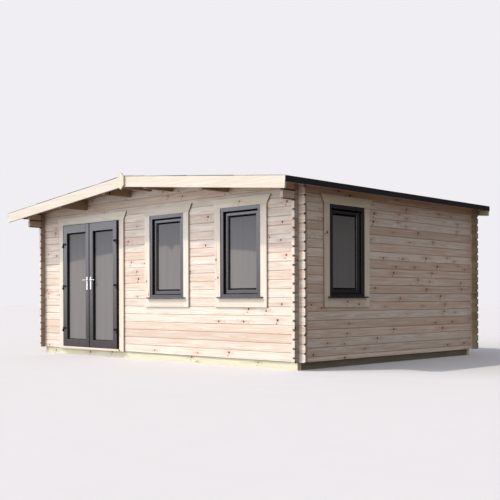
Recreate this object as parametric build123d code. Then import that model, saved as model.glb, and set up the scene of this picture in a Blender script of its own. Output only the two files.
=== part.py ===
"""Log cabin: interlocking log walls, low double-pitched roof, glazed double doors and three windows.

Millimetres, +Z up. The origin is on the ground, under the middle of the roof. The doors face -Y.
"""
from build123d import *
from math import ceil, cos, radians, tan
import os

# ---- Walls: plan over the outer faces, and the log that makes them
cabin_width = 5700
cabin_depth = 4160
log_thickness = 44
log_height = 114        # height that each log adds to a wall
course_count = 19       # full courses in the front and back walls
side_log_end = 80       # how far the side walls' logs run on past the front and back walls
end_log_end = 102       # how far the front and back walls' logs run on past the side walls
plate_end = 290         # how far the top logs of the side walls run on at the front
joint_bevel = 9         # bevel along each long edge of a log
end_bevel = 18          # bevel along the upper and lower edge of a log's end

# ---- Base and floor
bearer_height = 96
bearer_width = 70
end_bearer_inset = 24   # from the outer faces of the front and back walls
side_bearer_inset = 45  # from the outer faces of the side walls
floor_thickness = 19
joist_width = 45
joist_count = 7

# ---- Roof
roof_pitch = 5.6        # degrees
roof_lift = 62          # underside of the boards over the top course, at the side walls' outer faces
front_overhang = 520
back_overhang = 95
eaves_overhang = 250
board_thickness = 19
felt_thickness = 4
eaves_board_thickness = 20
eaves_board_height = 72
barge_depth = 148
barge_thickness = 28
barge_joint = 2         # gap between the two boards at the ridge, under the ridge plate
purlin_width = 58
purlin_depth = 145
inner_purlin_offset = 480
outer_purlin_offset = 1600
ridge_plate_width = 140
ridge_plate_height = 240
ridge_plate_tip = 60    # height of the pointed top and of the pointed foot
ridge_plate_rise = 50   # how far the top point stands over the barge boards' peak
ridge_plate_thickness = 26

# ---- Trim boards around the openings
trim_width = 108
trim_thickness = 22
head_trim_height = 118
head_trim_slant = 68    # each end of a head trim leans out by this much
foot_trim_height = 120
trim_lap = 12           # how far a trim laps over the frame behind it
head_drop = 169         # underside of every head trim below the top course

# ---- Door
door_share = 0.2403     # middle of the doorway, as a share of the front's width from the left
door_clear_width = 1500  # between the inner edges of the trims
leaf_trim_gap = 42      # visible frame between trim and leaf
leaf_gap = 6            # running clearance around each leaf
meeting_gap = 7
leaf_head_gap = 12      # between leaf and head trim
leaf_thickness = 56
leaf_proud = 18         # leaf face in front of the trims' faces
leaf_stile_width = 93
leaf_top_rail_height = 125
leaf_bottom_rail_height = 113
leaf_glass_setback = 40
door_frame_depth = 62
door_stop = 14          # how far the frame's stop reaches in behind the leaf
threshold_height = 33
threshold_projection = 45
hinge_radius = 7
hinge_pin_radius = 4
hinge_clearance = 0.3
hinge_height = 76
hinge_offset = 12       # hinge axis beyond the leaf's edge
hinge_plate_reach = 64  # over the leaf's face
hinge_plate_thickness = 3
hinge_arm_width = 8
hinge_foot_height = 270  # lowest hinge over the leaf's foot
hinge_pitch = 678       # from one hinge to the next

# ---- Door furniture
handle_height = 1056    # spindle over the leaf's foot
handle_inset = 46       # spindle from the leaf's meeting edge
backplate_width = 34
backplate_height = 205
backplate_drop = 52     # middle of the plate below the spindle
backplate_thickness = 8
spindle_radius = 8
spindle_clearance = 0.3
lever_length = 94
lever_radius = 9
lever_stand = 48        # middle of the lever in front of the leaf's face

# ---- Windows
window_width = 740
window_sill_count = 7   # full courses under the windows
left_window_share = 0.5645   # middle of each front window, as a share of the front's width from the left
right_window_share = 0.8249
side_window_from_front = 949    # middle of the side window from the front wall's outer face
window_frame_depth = 92
frame_member_width = 52  # each member of a window frame, seen from the front
window_recess = 7       # frame's face behind the trims' faces
sash_setback = 30
sash_member_width = 78  # the wood and the glazing bead together
sash_depth = 40
sash_glass_setback = 28
glass_thickness = 4
sill_height = 20
sill_projection = 28    # in front of the trims' faces
sill_horn = 42          # beyond the frame, each side

# ---- Levels and lines that follow from those sizes
os.makedirs("parts", exist_ok=True)
half_width = cabin_width / 2
roof_length = cabin_depth + front_overhang + back_overhang
roof_front = -roof_length / 2
roof_back = roof_length / 2
front_face = roof_front + front_overhang
back_face = front_face + cabin_depth
half_span = half_width + eaves_overhang
wall_foot = bearer_height
wall_top = wall_foot + course_count * log_height
slope = tan(radians(roof_pitch))
opening_head = wall_top - head_drop
door_centre = (door_share - 0.5) * cabin_width
left_window_centre = (left_window_share - 0.5) * cabin_width
right_window_centre = (right_window_share - 0.5) * cabin_width
floor_top = wall_foot + floor_thickness
board_rise = board_thickness / cos(radians(roof_pitch))
felt_rise = felt_thickness / cos(radians(roof_pitch))


def block(x_range, y_range, z_range):
    """Box between two values along each axis."""
    sizes = [high - low for low, high in (x_range, y_range, z_range)]
    middle = [(low + high) / 2 for low, high in (x_range, y_range, z_range)]
    return Pos(*middle) * Box(*sizes)


def across(points, x_low, x_high):
    """Prism along X of an outline given as (Y, Z) points."""
    return extrude(Plane.YZ.offset(x_low) * make_face(Polyline(*points, close=True)), x_high - x_low)


def along(points, y_low, y_high):
    """Prism along Y of an outline given as (X, Z) points."""
    return extrude(Plane.XZ.offset(-y_high) * make_face(Polyline(*points, close=True)), y_high - y_low)


def save(shape, name):
    export_step(shape, f"parts/{name}.step")


def save_set(solids, name):
    """Several like solids that don't touch, in one file."""
    export_step(Compound(children=list(solids)), f"parts/{name}.step")


def both_sides(solid):
    """A solid and its mirror image across the middle of the cabin."""
    return [solid, mirror(solid, Plane.YZ)]


def roof_underside(x):
    """Level of the underside of the roof boards."""
    return wall_top + roof_lift + (half_width - abs(x)) * slope


def boards_top(x):
    return roof_underside(x) + board_rise


# ---- Log walls
def log_outline(low, high, joints):
    """Section of a stack of logs as (depth from the outer face, height), with a V at each joint."""
    inner = [(log_thickness - joint_bevel * (low in joints), low)]
    for joint in joints:
        for bevel, level in ((0, joint - joint_bevel), (joint_bevel, joint), (0, joint + joint_bevel)):
            if low < level < high:
                inner.append((log_thickness - bevel, level))
    inner.append((log_thickness - joint_bevel * (high in joints), high))
    outer = [(log_thickness - depth, level) for depth, level in reversed(inner)]
    return inner + outer


def joint_levels(first):
    """Levels of the joints, from the one at this many log heights over the wall's foot, to the roof."""
    count = int((roof_underside(0) - wall_foot) / log_height) + 2
    return [wall_foot + (first + n) * log_height for n in range(count)]


end_joints = joint_levels(0)
side_joints = joint_levels(0.5)


def crossing_cuts(joints, y_range):
    """Notches of one wall's logs where the side walls cross them, a quarter of a log deep each way."""
    cuts = []
    for joint in joints:
        levels = (joint - log_height / 4, joint + log_height / 4)
        for side in (-1, 1):
            faces = sorted((side * half_width, side * (half_width - log_thickness)))
            cuts.append(block(faces, y_range, levels))
    return cuts


def end_bevels(end, inward, joints):
    """Outlines of the V that two bevelled log ends make at each joint, at one end of a wall."""
    tip = end + inward * end_bevel
    return [[(end, joint - end_bevel), (tip, joint), (end, joint + end_bevel)] for joint in joints]


def end_wall(outer_face, inward, x_range, low, high):
    """Logs of the front or back wall between two levels, notched where they cross the side walls."""
    outline = [(outer_face + inward * depth, level) for depth, level in log_outline(low, high, end_joints)]
    faces = sorted((outer_face, outer_face + inward * log_thickness))
    cuts = crossing_cuts(end_joints, faces)
    for side in (-1, 1):
        for points in end_bevels(side * wall_reach, -side, end_joints):
            cuts.append(along(points, *faces))
    return across(outline, *x_range) - cuts


def below_roof(y_range):
    """Everything under the roof boards along a stretch of the cabin."""
    reach = half_span + end_log_end
    points = [(-reach, 0), (reach, 0), (reach, roof_underside(reach)), (0, roof_underside(0))]
    points.append((-reach, roof_underside(reach)))
    return along(points, *y_range)


def purlin_ends(x):
    """Left and right side of a purlin."""
    return (x - purlin_width / 2, x + purlin_width / 2)


def purlin(x):
    """One purlin, its upper edge against the roof boards, from barge board to barge board."""
    top = roof_underside(abs(x) + purlin_width / 2)
    ends = (roof_front + barge_thickness, roof_back - barge_thickness)
    return block(purlin_ends(x), ends, (top - purlin_depth, top))


purlin_places = (0, -inner_purlin_offset, inner_purlin_offset, -outer_purlin_offset, outer_purlin_offset)
purlins = {x: purlin(x) for x in purlin_places}


def purlin_notches(y_range):
    """Notches in a gable, open at the top, that the purlins lie in."""
    notches = []
    for x in purlin_places:
        foot = roof_underside(abs(x) + purlin_width / 2) - purlin_depth
        notches.append(block(purlin_ends(x), y_range, (foot, gable_top)))
    return notches


wall_reach = half_width + end_log_end
opening_courses = ceil((opening_head - wall_foot) / log_height)
split_level = wall_foot + opening_courses * log_height
gable_top = roof_underside(0) + log_height
window_foot = wall_foot + window_sill_count * log_height
door_half_hole = door_clear_width / 2 + trim_lap
door_hole = (door_centre - door_half_hole, door_centre + door_half_hole)
door_head = opening_head + trim_lap

front_depth = (front_face, front_face + log_thickness)
front_window_holes = []
for centre in (left_window_centre, right_window_centre):
    hole_sides = (centre - window_width / 2, centre + window_width / 2)
    front_window_holes.append(block(hole_sides, front_depth, (window_foot, opening_head)))

front_left = end_wall(front_face, 1, (-wall_reach, door_hole[0]), wall_foot, split_level)
front_right = end_wall(front_face, 1, (door_hole[1], wall_reach), wall_foot, split_level)
front_right -= front_window_holes
front_top = end_wall(front_face, 1, (-wall_reach, wall_reach), split_level, gable_top)
front_top = front_top & below_roof(front_depth)
front_top -= purlin_notches(front_depth)
back_depth = (back_face - log_thickness, back_face)
back = end_wall(back_face, -1, (-wall_reach, wall_reach), wall_foot, gable_top)
back = back & below_roof(back_depth)
back -= purlin_notches(back_depth)

save(front_left, "front_wall_left")
save(front_right, "front_wall_right")
save(front_top, "front_gable")
save(back, "back_wall")


def side_wall():
    """Right-hand wall: half a log at the foot, full logs, and a bevelled log under the roof."""
    top_joint = wall_foot + (course_count - 0.5) * log_height
    plate_foot = top_joint - log_height
    outline = [(half_width - depth, level) for depth, level in log_outline(wall_foot, top_joint, side_joints)]
    wall = along(outline, front_face - plate_end, back_face + side_log_end)
    bevel = joint_bevel
    inner = half_width - log_thickness
    cap = [(inner, top_joint + bevel), (inner + bevel, top_joint), (half_width - bevel, top_joint)]
    cap += [(half_width, top_joint + bevel), (half_width, roof_underside(half_width))]
    cap += [(inner, roof_underside(inner))]
    wall += along(cap, front_face - plate_end, back_face + side_log_end)
    faces = (inner, half_width)
    wall -= block(faces, (front_face - plate_end, front_face - side_log_end), (wall_foot, plate_foot))
    wall -= block(faces, (roof_back - barge_thickness, roof_back), (plate_foot, gable_top))
    lower_joints = [joint for joint in side_joints if joint < plate_foot]
    ends = end_bevels(front_face - side_log_end, 1, lower_joints)
    ends += end_bevels(back_face + side_log_end, -1, lower_joints)
    ends += end_bevels(front_face - plate_end, 1, [plate_foot, top_joint])
    for points in ends:
        wall -= across(points, inner, half_width)
    for joint in end_joints:
        level = joint + log_height / 2
        levels = (level - log_height / 4, level + log_height / 4)
        for depth in (front_depth, back_depth):
            wall -= block((inner, half_width), depth, levels)
    return wall


side_centre = front_face + side_window_from_front
side_window_sides = (side_centre - window_width / 2, side_centre + window_width / 2)
right_wall = side_wall()
left_wall = mirror(right_wall, Plane.YZ)
side_depth = (half_width - log_thickness, half_width)
right_wall -= block(side_depth, side_window_sides, (window_foot, opening_head))
save(right_wall, "right_wall")
save(left_wall, "left_wall")

# ---- Base bearers and floor
bearer_x = half_width - side_bearer_inset
bearer_front = front_face + end_bearer_inset
bearer_back = back_face - end_bearer_inset
end_bearers = []
for y_low in (bearer_front, bearer_back - bearer_width):
    end_bearers.append(block((-bearer_x, bearer_x), (y_low, y_low + bearer_width), (0, bearer_height)))
side_run = (bearer_front + bearer_width, bearer_back - bearer_width)
side_bearer = block((bearer_x - bearer_width, bearer_x), side_run, (0, bearer_height))
save_set(end_bearers, "end_bearers")
save_set(both_sides(side_bearer), "side_bearers")

room_x = half_width - log_thickness
room_front = front_face + log_thickness
room_back = back_face - log_thickness
save(block((-room_x, room_x), (room_front, room_back), (wall_foot, floor_top)), "floor")
joist_pitch = 2 * (bearer_x - bearer_width) / (joist_count + 1)
joists = []
for n in range(1, joist_count + 1):
    middle = -bearer_x + bearer_width + n * joist_pitch
    joists.append(block((middle - joist_width / 2, middle + joist_width / 2), side_run, (0, bearer_height)))
save_set(joists, "floor_joists")

# ---- Roof
save(purlins[0], "ridge_purlin")
save_set([purlins[-inner_purlin_offset], purlins[inner_purlin_offset]], "inner_purlins")
save_set([purlins[-outer_purlin_offset], purlins[outer_purlin_offset]], "outer_purlins")

boards_run = (roof_front + barge_thickness, roof_back - barge_thickness)
lip_inner = half_span - felt_thickness
boards_edge = lip_inner - eaves_board_thickness
eaves_foot = boards_top(lip_inner) - eaves_board_height
boards_outline = [(0, roof_underside(0)), (boards_edge, roof_underside(boards_edge))]
boards_outline += [(boards_edge, boards_top(boards_edge)), (0, boards_top(0))]
roof_boards = along(boards_outline, *boards_run)
eaves_outline = [(boards_edge, eaves_foot), (lip_inner, eaves_foot)]
eaves_outline += [(lip_inner, boards_top(lip_inner)), (boards_edge, boards_top(boards_edge))]
eaves_board = along(eaves_outline, *boards_run)
felt_outline = [(0, boards_top(0)), (half_span, boards_top(half_span))]
felt_outline += [(half_span, boards_top(half_span) + felt_rise), (0, boards_top(0) + felt_rise)]
lip_outline = [(lip_inner, eaves_foot), (half_span, eaves_foot)]
lip_outline += [(half_span, boards_top(half_span)), (lip_inner, boards_top(lip_inner))]
roof_felt = along(felt_outline, roof_front, roof_back) + along(lip_outline, *boards_run)
for name, piece in (("roof_boards", roof_boards), ("roof_felt", roof_felt)):
    save(piece, f"{name}_right")
    save(mirror(piece, Plane.YZ), f"{name}_left")
save_set(both_sides(eaves_board), "eaves_boards")

cut_back = barge_depth * slope
barge_outline = [(barge_joint / 2, boards_top(barge_joint / 2)), (half_span, boards_top(half_span))]
barge_outline += [(half_span - cut_back, boards_top(half_span - cut_back) - barge_depth)]
barge_outline += [(barge_joint / 2, boards_top(barge_joint / 2) - barge_depth)]
for end, low in (("front", roof_front), ("back", roof_back - barge_thickness)):
    barge = along(barge_outline, low, low + barge_thickness)
    save_set(both_sides(barge), f"{end}_barge_boards")

plate_top = boards_top(0) + ridge_plate_rise
plate_low = plate_top - ridge_plate_height
plate_half = ridge_plate_width / 2
shoulders = (plate_low + ridge_plate_tip, plate_top - ridge_plate_tip)
plate_outline = [(0, plate_low), (plate_half, shoulders[0]), (plate_half, shoulders[1])]
plate_outline += [(0, plate_top), (-plate_half, shoulders[1]), (-plate_half, shoulders[0])]
ridge_plates = [along(plate_outline, roof_front - ridge_plate_thickness, roof_front)]
ridge_plates.append(along(plate_outline, roof_back, roof_back + ridge_plate_thickness))
save_set(ridge_plates, "ridge_plates")


# ---- Frames, sashes and trims, modelled flat with X across, Y into the wall and Z up
def ring(sides, depth, levels, left, right, foot, head):
    """Rectangular frame of four members with these face widths."""
    outer = block(sides, depth, levels)
    hole = block((sides[0] + left, sides[1] - right), depth, (levels[0] + foot, levels[1] - head))
    return outer - hole


def surround(half_opening, foot, with_foot_board):
    """Trim boards around an opening: two uprights, a head board with leaning ends, and a foot board."""
    outer = half_opening + trim_width
    top = opening_head + head_trim_height
    points = [(-outer, foot), (-half_opening, foot), (-half_opening, opening_head)]
    points += [(half_opening, opening_head), (half_opening, foot), (outer, foot), (outer, opening_head)]
    points += [(outer + head_trim_slant, top), (-outer - head_trim_slant, top), (-outer, opening_head)]
    boards = along(points, -trim_thickness, 0)
    if with_foot_board:
        boards += block((-outer, outer), (-trim_thickness, 0), (foot - foot_trim_height, foot))
    return boards


def window():
    """Frame with its sill, sash, glass and trim of one window."""
    half = window_width / 2
    sides = (-half, half)
    levels = (window_foot, opening_head)
    front = window_recess - trim_thickness
    frame = ring(sides, (front, front + window_frame_depth), levels, *[frame_member_width] * 4)
    sill_front = -trim_thickness - sill_projection
    sill_levels = (window_foot, window_foot + sill_height)
    frame += block((-half - sill_horn, half + sill_horn), (sill_front, -trim_thickness), sill_levels)
    frame += block(sides, (-trim_thickness, front), sill_levels)
    inner = half - frame_member_width
    sash_sides = (-inner, inner)
    sash_levels = (window_foot + frame_member_width, opening_head - frame_member_width)
    sash_front = front + sash_setback
    sash = ring(sash_sides, (sash_front, sash_front + sash_depth), sash_levels, *[sash_member_width] * 4)
    pane_front = sash_front + sash_glass_setback
    pane_half = inner - sash_member_width
    pane_levels = (sash_levels[0] + sash_member_width, sash_levels[1] - sash_member_width)
    pane = block((-pane_half, pane_half), (pane_front, pane_front + glass_thickness), pane_levels)
    trim = surround(half, window_foot, True)
    return {"frame": frame, "sash": sash, "glass": pane, "trim": trim}


side_wall_place = Pos(half_width, side_centre, 0) * Rot(0, 0, 90)
window_places = {"front_left_window": Pos(left_window_centre, front_face, 0)}
window_places["front_right_window"] = Pos(right_window_centre, front_face, 0)
window_places["side_window"] = side_wall_place
for window_name, place in window_places.items():
    for piece_name, piece in window().items():
        save(place * piece, f"{window_name}_{piece_name}")

# ---- Doorway
door_place = Pos(door_centre, front_face, 0)
threshold_top = wall_foot + threshold_height
leaf_foot = threshold_top + leaf_gap
leaf_head = opening_head - leaf_head_gap
leaf_front = -trim_thickness - leaf_proud
leaf_back = leaf_front + leaf_thickness
leaf_side = door_clear_width / 2 - leaf_trim_gap
leaf_width = leaf_side - meeting_gap / 2
frame_inner = leaf_side + leaf_gap
stop_inner = leaf_side - door_stop
stop_front = leaf_back + leaf_gap

door_frame = block((-door_half_hole, door_half_hole), (0, door_frame_depth), (threshold_top, door_head))
door_frame -= block((-frame_inner, frame_inner), (0, stop_front), (threshold_top, leaf_head + leaf_gap))
stop_depth = (stop_front, door_frame_depth)
door_frame -= block((-stop_inner, stop_inner), stop_depth, (threshold_top, leaf_head - door_stop))
save(door_place * door_frame, "door_frame")
save(door_place * surround(door_clear_width / 2, wall_foot, False), "door_trim")

threshold = block((-door_half_hole, door_half_hole), (0, log_thickness), (wall_foot, threshold_top))
nose_side = door_clear_width / 2
threshold += block((-nose_side, nose_side), (-threshold_projection, 0), (wall_foot, threshold_top))
save(door_place * threshold, "door_threshold")

leaf_sides = (meeting_gap / 2, leaf_side)
leaf_depth = (leaf_front, leaf_back)
leaf_levels = (leaf_foot, leaf_head)
spindle_x = meeting_gap / 2 + handle_inset
spindle_z = leaf_foot + handle_height


def rod(x, z, radius, y_range):
    """Round bar along Y."""
    length = y_range[1] - y_range[0]
    return Pos(x, (y_range[0] + y_range[1]) / 2, z) * Rot(90, 0, 0) * Cylinder(radius, length)


def post(x, y, radius, z_range):
    """Round bar along Z."""
    return Pos(x, y, (z_range[0] + z_range[1]) / 2) * Cylinder(radius, z_range[1] - z_range[0])


plates_depth = (leaf_front - backplate_thickness, leaf_back + backplate_thickness)
spindle_hole = rod(spindle_x, spindle_z, spindle_radius + spindle_clearance, plates_depth)
rails = (leaf_bottom_rail_height, leaf_top_rail_height)
leaf = ring(leaf_sides, leaf_depth, leaf_levels, leaf_stile_width, leaf_stile_width, *rails)
leaf -= spindle_hole
pane_sides = (leaf_sides[0] + leaf_stile_width, leaf_sides[1] - leaf_stile_width)
pane_front = leaf_front + leaf_glass_setback
pane_levels = (leaf_foot + rails[0], leaf_head - rails[1])
leaf_pane = block(pane_sides, (pane_front, pane_front + glass_thickness), pane_levels)

plate_middle = spindle_z - backplate_drop
backplate_sides = (spindle_x - backplate_width / 2, spindle_x + backplate_width / 2)
backplate_levels = (plate_middle - backplate_height / 2, plate_middle + backplate_height / 2)
outer_plate = block(backplate_sides, (plates_depth[0], leaf_front), backplate_levels)
inner_plate = block(backplate_sides, (leaf_back, plates_depth[1]), backplate_levels)
backplates = [outer_plate - spindle_hole, inner_plate - spindle_hole]


def lever(face, outward):
    """Lever arm with a rounded end, standing off one face of the leaf."""
    y = face + outward * lever_stand
    middle = spindle_x + lever_length / 2
    arm = Pos(middle, y, spindle_z) * Rot(0, 90, 0) * Cylinder(lever_radius, lever_length)
    return arm + Pos(spindle_x + lever_length, y, spindle_z) * Sphere(lever_radius)


levers = rod(spindle_x, spindle_z, spindle_radius, (leaf_front - lever_stand, leaf_back + lever_stand))
for face, outward in ((leaf_front, -1), (leaf_back, 1)):
    levers += lever(face, outward)
    levers += Pos(spindle_x, face + outward * lever_stand, spindle_z) * Sphere(lever_radius)

hinge_x = leaf_side + hinge_offset
hinge_y = leaf_front - hinge_plate_thickness
frame_hinges = []
leaf_hinges = []
for n in range(3):
    middle = leaf_foot + hinge_foot_height + n * hinge_pitch
    low = (middle - hinge_height / 2, middle)
    high = (middle + hinge_clearance, middle + hinge_height / 2)
    arm_sides = (hinge_x - hinge_arm_width / 2, hinge_x + hinge_arm_width / 2)
    fixed = post(hinge_x, hinge_y, hinge_radius, low) + block(arm_sides, (hinge_y, 0), low)
    fixed += post(hinge_x, hinge_y, hinge_pin_radius, (low[0], high[1]))
    moving = post(hinge_x, hinge_y, hinge_radius, high)
    moving += block((leaf_side - hinge_plate_reach, hinge_x), (hinge_y, leaf_front), high)
    moving -= post(hinge_x, hinge_y, hinge_pin_radius + hinge_clearance, high)
    frame_hinges.append(fixed)
    leaf_hinges.append(moving)

right_pieces = {"door": [leaf], "door_glass": [leaf_pane], "door_backplates": backplates}
right_pieces["door_levers"] = [levers]
right_pieces["door_hinges"] = leaf_hinges
for name, solids in right_pieces.items():
    save_set([door_place * solid for solid in solids], f"right_{name}")
    save_set([door_place * mirror(solid, Plane.YZ) for solid in solids], f"left_{name}")
fixed_hinges = frame_hinges + [mirror(solid, Plane.YZ) for solid in frame_hinges]
save_set([door_place * solid for solid in fixed_hinges], "frame_hinges")
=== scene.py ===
# %% [markdown]
# # A garden log cabin
# The cabin is a ring of planed spruce logs that lock into each other at the corners, under a low felted
# roof. The CAD model carries every solid that holds it up, so it is loaded first and never moved. Blender
# adds what a joiner, a roofer and a painter add: boards with eased edges, felt, seals, nails, and a finish
# for each surface.

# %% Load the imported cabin
from functools import partial
from math import atan, cos, pi, radians, sin
from random import Random

import bpy
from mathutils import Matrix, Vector


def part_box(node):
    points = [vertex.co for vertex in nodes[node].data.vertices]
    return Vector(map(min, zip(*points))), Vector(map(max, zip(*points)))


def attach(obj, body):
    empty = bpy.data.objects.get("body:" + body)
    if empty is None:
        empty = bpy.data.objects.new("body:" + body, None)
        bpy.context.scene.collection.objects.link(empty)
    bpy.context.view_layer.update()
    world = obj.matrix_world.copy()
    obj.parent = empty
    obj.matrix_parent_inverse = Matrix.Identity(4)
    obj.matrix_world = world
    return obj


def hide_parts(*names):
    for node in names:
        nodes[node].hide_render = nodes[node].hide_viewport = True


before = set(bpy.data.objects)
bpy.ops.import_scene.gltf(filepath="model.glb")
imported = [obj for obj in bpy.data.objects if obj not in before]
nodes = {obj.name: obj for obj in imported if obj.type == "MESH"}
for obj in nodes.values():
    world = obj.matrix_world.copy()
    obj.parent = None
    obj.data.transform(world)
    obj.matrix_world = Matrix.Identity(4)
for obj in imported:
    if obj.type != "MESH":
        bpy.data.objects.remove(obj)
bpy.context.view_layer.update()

scene = bpy.context.scene
MM = 0.001

# %% [markdown]
# ## Measures read from the model
# Places come from the boxes of the CAD nodes, so that the added pieces sit where the solids are. The few
# sizes that a box can't give, such as the height of one log, are written here once.

# %% Places and sizes
LOG_COVER = 114 * MM        # height that each log adds to a wall
LOG_THICKNESS = 44 * MM
LOG_END = 80 * MM           # how far the side logs stand out past the front and the back
TRIM_WIDTH = 108 * MM
HEAD_HEIGHT = 118 * MM      # board over an opening
HEAD_LEAN = 68 * MM         # each end of that board leans out by this much
FOOT_HEIGHT = 120 * MM      # board under a window
BOARD_RISE = 19.091 * MM    # thickness of a roof board, measured upright

wall_low, wall_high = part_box("front_wall_right")
front_y, foot_z = wall_low.y, wall_low.z
back_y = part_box("back_wall")[1].y
side_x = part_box("right_wall")[1].x
boards_low, boards_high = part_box("roof_boards_right")
roof_slope = (boards_high.z - BOARD_RISE - boards_low.z) / boards_high.x
print("front", front_y, "back", back_y, "sides", side_x, "foot", foot_z, "slope", round(roof_slope, 4))

# %% [markdown]
# ## Camera
# A long lens at the height of a seated person's eyes, in front of the right-hand corner. It is level, so
# the corners of the cabin stay upright, and a small shift brings the roof into the frame.

# %% Camera
camera_data = bpy.data.cameras.new("camera")
camera_data.lens = 61.56
camera_data.shift_y = 0.1002
camera_data.clip_end = 300
camera = bpy.data.objects.new("camera", camera_data)
camera.location = (side_x + 6.8753, front_y - 7.9223, foot_z + 0.7722)
camera.rotation_euler = (radians(90), 0.0026, radians(44.22))
scene.collection.objects.link(camera)
scene.camera = camera
print("camera at", tuple(round(v, 3) for v in camera.location))

# %% [markdown]
# ## Colours and nodes
# Colours are picked as sRGB hex values, and one function turns them to the linear values that Blender
# mixes. One more function adds a shader node with its settings and links, so that a material reads as a
# list of steps. The word after the kind of node is its operation. A list fills the inputs from the top, as
# the node shows them, and a dictionary fills them by name.

# %% Colour and node helpers
def linear(hex_colour):
    """An sRGB hex colour as linear red, green, blue and alpha."""
    parts = [int(hex_colour[n:n + 2], 16) / 255 for n in (0, 2, 4)]
    parts = [p / 12.92 if p <= 0.04045 else ((p + 0.055) / 1.055) ** 2.4 for p in parts]
    return (*parts, 1)


def add_node(tree, kind, inputs=(), **settings):
    """A node of this kind. Each input is a value, a socket, or a node that gives its first shown output."""
    kind, _, operation = kind.partition(" ")
    new = tree.nodes.new("ShaderNode" + kind)
    if operation:
        new.operation = operation
    for name, value in settings.items():
        setattr(new, name, value)
    if not isinstance(inputs, dict):
        shown = [n for n, socket in enumerate(new.inputs) if socket.enabled]
        inputs = dict(zip(shown, inputs))
    for name, value in inputs.items():
        if isinstance(value, bpy.types.Node):
            value = next(output for output in value.outputs if output.enabled)
        if isinstance(value, bpy.types.NodeSocket):
            tree.links.new(value, new.inputs[name])
        elif value is not None:
            new.inputs[name].default_value = value
    return new


def new_material(name):
    """An empty material, the function that adds its nodes, and the place of a point in it."""
    material = bpy.data.materials.new(name)
    material.use_nodes = True
    material.node_tree.nodes.clear()
    add = partial(add_node, material.node_tree)
    return material, add, add("TexCoord").outputs["Object"]


def stretched_noise(add, place, scales, detail=2.0, roughness=0.5):
    """A noise with its own scale along each direction."""
    place = add("VectorMath MULTIPLY", [place, scales])
    return add("TexNoise", {"Vector": place, "Scale": 1.0, "Detail": detail, "Roughness": roughness})


# %% [markdown]
# ## Light
# The light is that of a bright studio: one small strong lamp high at the front left, which draws the eaves'
# shadow across the wall, and very wide soft lamps for the sky. The surroundings glow pale from above and
# dim and brownish from below, which keeps the underside of the roof dark. Gloss reflects a large pale
# screen in front of the cabin that darkens towards its foot, and a dark room behind. The camera sees
# neither, only plain pale paper.

# %% Surroundings
world = bpy.data.worlds.new("studio")
scene.world = world
world.use_nodes = True
world.node_tree.nodes.clear()
add = partial(add_node, world.node_tree)
ray = add("LightPath").outputs
aim = add("SeparateXYZ", [add("TexCoord").outputs["Generated"]]).outputs
SMOOTH = {"interpolation_type": "SMOOTHSTEP"}
height = add("MapRange", [aim[2], -0.08, 0.08], **SMOOTH)
tint = add("Mix", [height, linear("c9b5a2"), linear("e9edf4")], data_type="RGBA")
soft = add("MapRange", [height, None, None, 0.27, 0.60])
screen = add("MapRange", [height, None, None, 0.45, 2.8])
front = add("MapRange", [aim[1], 0.3, -0.3, 0.02, 1.0], **SMOOTH)
strength = add("Mix", [ray["Is Glossy Ray"], soft, add("Math MULTIPLY", [screen, front])])
glow = add("Background", [tint, strength])
paper = add("Background", [linear("f0eef2"), 1.0])
add("OutputWorld", [add("MixShader", [ray["Is Camera Ray"], glow, paper])])
scene.view_settings.view_transform = "Standard"
scene.view_settings.look = "None"


# %% Lamps
def sun(name, direction, strength, angle, colour, mirrored=True):
    """A lamp far away that shines along a direction. A wide angle makes it soft."""
    data = bpy.data.lights.new(name, "SUN")
    data.energy = strength
    data.angle = radians(angle)
    data.color = linear(colour)[:3]
    lamp = bpy.data.objects.new(name, data)
    lamp.rotation_euler = Vector(direction).to_track_quat("-Z", "Y").to_euler()
    lamp.visible_glossy = mirrored
    scene.collection.objects.link(lamp)


sun("key_light", (0.69, 1, -1.445), 1.95, 1.2, "fff3e2")
sun("sky_glow", (0.8, 0.58, -0.6), 1.4, 40, "ebf1ff", False)
sun("front_fill", (0.45, 1, 0.04), 1.85, 70, "e8f1ff", False)


# %% Floor
def primitive(kind, name, stretch=(1, 1, 1), **options):
    """A plain shape, with its place, turn and stretch written into its mesh."""
    bpy.ops.object.select_all(action="DESELECT")
    getattr(bpy.ops.mesh, f"primitive_{kind}_add")(**options)
    piece = bpy.context.object
    piece.name = piece.data.name = name
    piece.scale = stretch
    bpy.ops.object.transform_apply(location=True, rotation=True, scale=True)
    return piece


def coat(piece, material):
    """Gives a piece one finish in place of any that it has."""
    piece.data.materials.clear()
    piece.data.materials.append(material)


studio_floor = primitive("plane", "studio_floor", size=240)
studio_paper, add, place = new_material("studio_paper")
grain = add("TexNoise", {"Vector": place, "Scale": 3.0})
shade = add("Mix", [grain, linear("d9d7d9"), linear("dddadc")], data_type="RGBA")
look = {"Base Color": shade, "Roughness": 0.9, "Specular IOR Level": 0.1}
add("OutputMaterial", [add("BsdfPrincipled", look)])
coat(studio_floor, studio_paper)
studio_floor.visible_diffuse = studio_floor.visible_glossy = studio_floor.visible_shadow = False
print("lights and floor are in place")

# %% [markdown]
# ## A joiner's helpers
# A board starts as a cube at its size and place. It is shaped in edit mode while it is still plain, because
# a few corners are easy to pick by where they are, and its edges are eased last. Every piece keeps the
# cabin's origin.

# %% Making and shaping a board
def only(piece):
    """Selects one piece and nothing else."""
    bpy.ops.object.select_all(action="DESELECT")
    piece.select_set(True)
    bpy.context.view_layer.objects.active = piece


def to_mode(name):
    """Goes into edit mode or object mode."""
    bpy.ops.object.mode_set(mode=name)


def modify(piece, kind, **settings):
    """Adds a modifier with its settings and applies it."""
    only(piece)
    modifier = piece.modifiers.new(kind.lower(), kind)
    for name, value in settings.items():
        setattr(modifier, name, value)
    bpy.ops.object.modifier_apply(modifier=modifier.name)


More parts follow.
